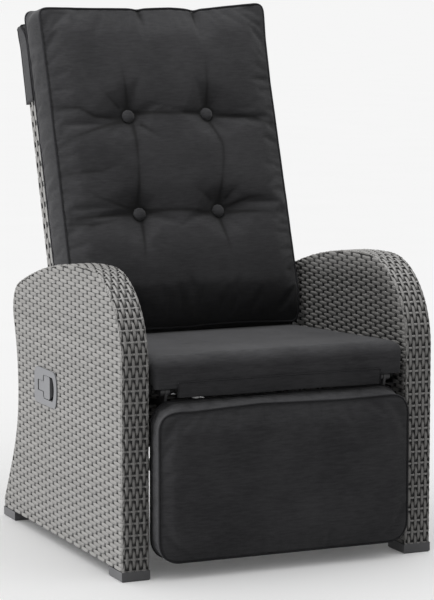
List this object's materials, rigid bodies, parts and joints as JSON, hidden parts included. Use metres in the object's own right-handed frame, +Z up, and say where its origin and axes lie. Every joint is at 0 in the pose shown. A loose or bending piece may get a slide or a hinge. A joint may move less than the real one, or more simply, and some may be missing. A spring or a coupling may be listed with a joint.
{
  "type": "reclining lounge chair",
  "caption": "Woven high-back garden recliner with arched side panels, a tufted back cushion, a seat cushion, and a footrest that rises as the back goes down.",
  "frame": {"origin": "on the floor under the middle of the chair's bounding box, at rest", "axes": "+Z up; the sitter faces -Y; +X to the sitter's left"},
  "size_m": [0.683, 0.7983, 1.1009],
  "materials": {
    "woven_strand": "woven flat synthetic strand, warm grey",
    "coated_tube": "dark powder coat on thin tube",
    "zinc_steel": "zinc plated flat bar",
    "bolt_steel": "zinc plated",
    "foot_plastic": "moulded dark grey",
    "cushion_cloth": "woven anthracite polyester",
    "hood_cloth": "woven anthracite polyester",
    "gas_body": "black enamel",
    "chrome_rod": "polished",
    "lever_plastic": "moulded light grey"
  },
  "bodies": {
    "base": {"side_weave_left": "woven_strand", "side_weave_right": "woven_strand", "side_frame_left": "coated_tube", "side_frame_right": "coated_tube", "foot_front_left": "foot_plastic", "foot_front_right": "foot_plastic", "foot_rear_left": "foot_plastic", "foot_rear_right": "foot_plastic", "foot_screws": "bolt_steel", "rear_stretcher": "coated_tube", "rear_stretcher_wrap": "woven_strand", "rear_apron_frame": "coated_tube", "rear_apron_weave": "woven_strand", "seat_frame": "coated_tube", "seat_deck_weave": "woven_strand", "seat_frame_bolts": "bolt_steel", "back_hinge_bolts": "bolt_steel", "back_hinge_bushes": "foot_plastic", "footrest_hinge_bolts": "bolt_steel", "gas_cylinder": "gas_body", "gas_front_pin": "bolt_steel", "seat_cushion": "cushion_cloth", "seat_cushion_flap": "cushion_cloth", "lever_housing": "lever_plastic", "lever_pin": "bolt_steel", "lever_spring": "bolt_steel"},
    "backrest": {"back_hinge_plate_left": "zinc_steel", "back_hinge_plate_right": "zinc_steel", "back_plate_bolts": "bolt_steel", "backrest_crossbar": "coated_tube", "backrest_rod_pins": "bolt_steel", "gas_rear_pin": "bolt_steel", "backrest_weave": "woven_strand", "backrest_frame": "coated_tube", "backrest_hood": "hood_cloth", "back_cushion": "cushion_cloth", "back_cushion_buttons": "cushion_cloth"},
    "footrest": {"footrest_arm_left": "zinc_steel", "footrest_arm_right": "zinc_steel", "footrest_arm_bolts": "bolt_steel", "footrest_rod_pins": "bolt_steel", "footrest_frame": "coated_tube", "footrest_weave": "woven_strand", "footrest_cushion": "cushion_cloth"},
    "push_rod_left": {"push_rod_left": "zinc_steel"},
    "push_rod_right": {"push_rod_right": "zinc_steel"},
    "gas_rod": {"gas_rod": "chrome_rod"},
    "release_paddle": {"lever_paddle": "lever_plastic"}
  },
  "joints": [
    {"name": "recline", "type": "hinge", "parent": "base", "child": "backrest", "pos_m": [0, 0.169, 0.33204], "axis": [-1, 0, 0], "range_deg": [0, 38]},
    {"name": "footrest_lift", "type": "hinge", "parent": "base", "child": "footrest", "pos_m": [0, -0.337, 0.369], "axis": [-1, 0, 0], "range_deg": [0, 76], "deforming": ["seat_cushion_flap"]},
    {"name": "push_rod_left_hinge", "type": "hinge", "parent": "footrest", "child": "push_rod_left", "pos_m": [0, -0.31746, 0.344], "axis": [-1, 0, 0], "range_deg": [-76, 0]},
    {"name": "push_rod_right_hinge", "type": "hinge", "parent": "footrest", "child": "push_rod_right", "pos_m": [0, -0.31746, 0.344], "axis": [-1, 0, 0], "range_deg": [-76, 0]},
    {"name": "gas_rod_slide", "type": "slide", "parent": "base", "child": "gas_rod", "axis": [0, -1, 0], "range_m": [0, 0.0391]},
    {"name": "paddle", "type": "hinge", "parent": "base", "child": "release_paddle", "pos_m": [-0.3335, 0.0925, 0.324], "axis": [0, 0, -1], "range_deg": [0, 25], "stiffness_Nm_per_rad": 0.1, "springref_deg": -17.19}
  ],
  "couplings": [
    {"joint": "footrest_lift", "follows": "recline", "ratio": 2},
    {"joint": "push_rod_left_hinge", "follows": "recline", "ratio": -2},
    {"joint": "push_rod_right_hinge", "follows": "recline", "ratio": -2},
    {"joint": "gas_rod_slide", "follows": "recline", "m_per_rad": 0.0589}
  ]
}
